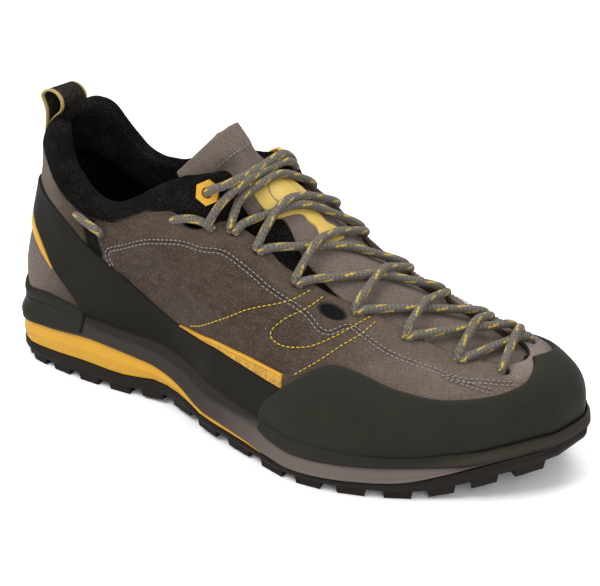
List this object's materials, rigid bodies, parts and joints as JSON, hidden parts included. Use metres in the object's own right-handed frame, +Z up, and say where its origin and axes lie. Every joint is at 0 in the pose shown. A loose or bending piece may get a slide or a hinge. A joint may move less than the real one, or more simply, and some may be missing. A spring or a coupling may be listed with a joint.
{
  "type": "approach shoe",
  "caption": "Low approach shoe for the right foot: grey suede upper, dark rubber rand and side band, yellow trims, lugged sole",
  "frame": {"origin": "on the floor under the middle of the heel seat, on the foot of the middle heel block", "axes": "+X to the toe, +Y to the medial side, +Z up"},
  "size_m": [0.2994, 0.1114, 0.1366],
  "materials": {
    "suede": "matte napped",
    "rubber": "satin",
    "outsole_rubber": "matte",
    "grey_foam": "matte",
    "yellow": "satin",
    "mesh": "matte knitted",
    "lace": "braided"
  },
  "bodies": {
    "root": {"outsole": "outsole_rubber", "heel_wedge": "yellow", "midsole": "grey_foam", "insole": "mesh", "upper": "suede", "collar": "mesh", "tongue": "suede", "toe_rand": "rubber", "heel_strap": "rubber", "heel_rand": "rubber", "heel_piping": "yellow", "side_insert_lateral": "yellow", "side_insert_medial": "yellow", "tongue_keeper": "yellow", "hex_eyelet_lateral": "yellow", "hex_eyelet_medial": "yellow", "lace": "lace", "pull_loop": "mesh"}
  },
  "joints": []
}
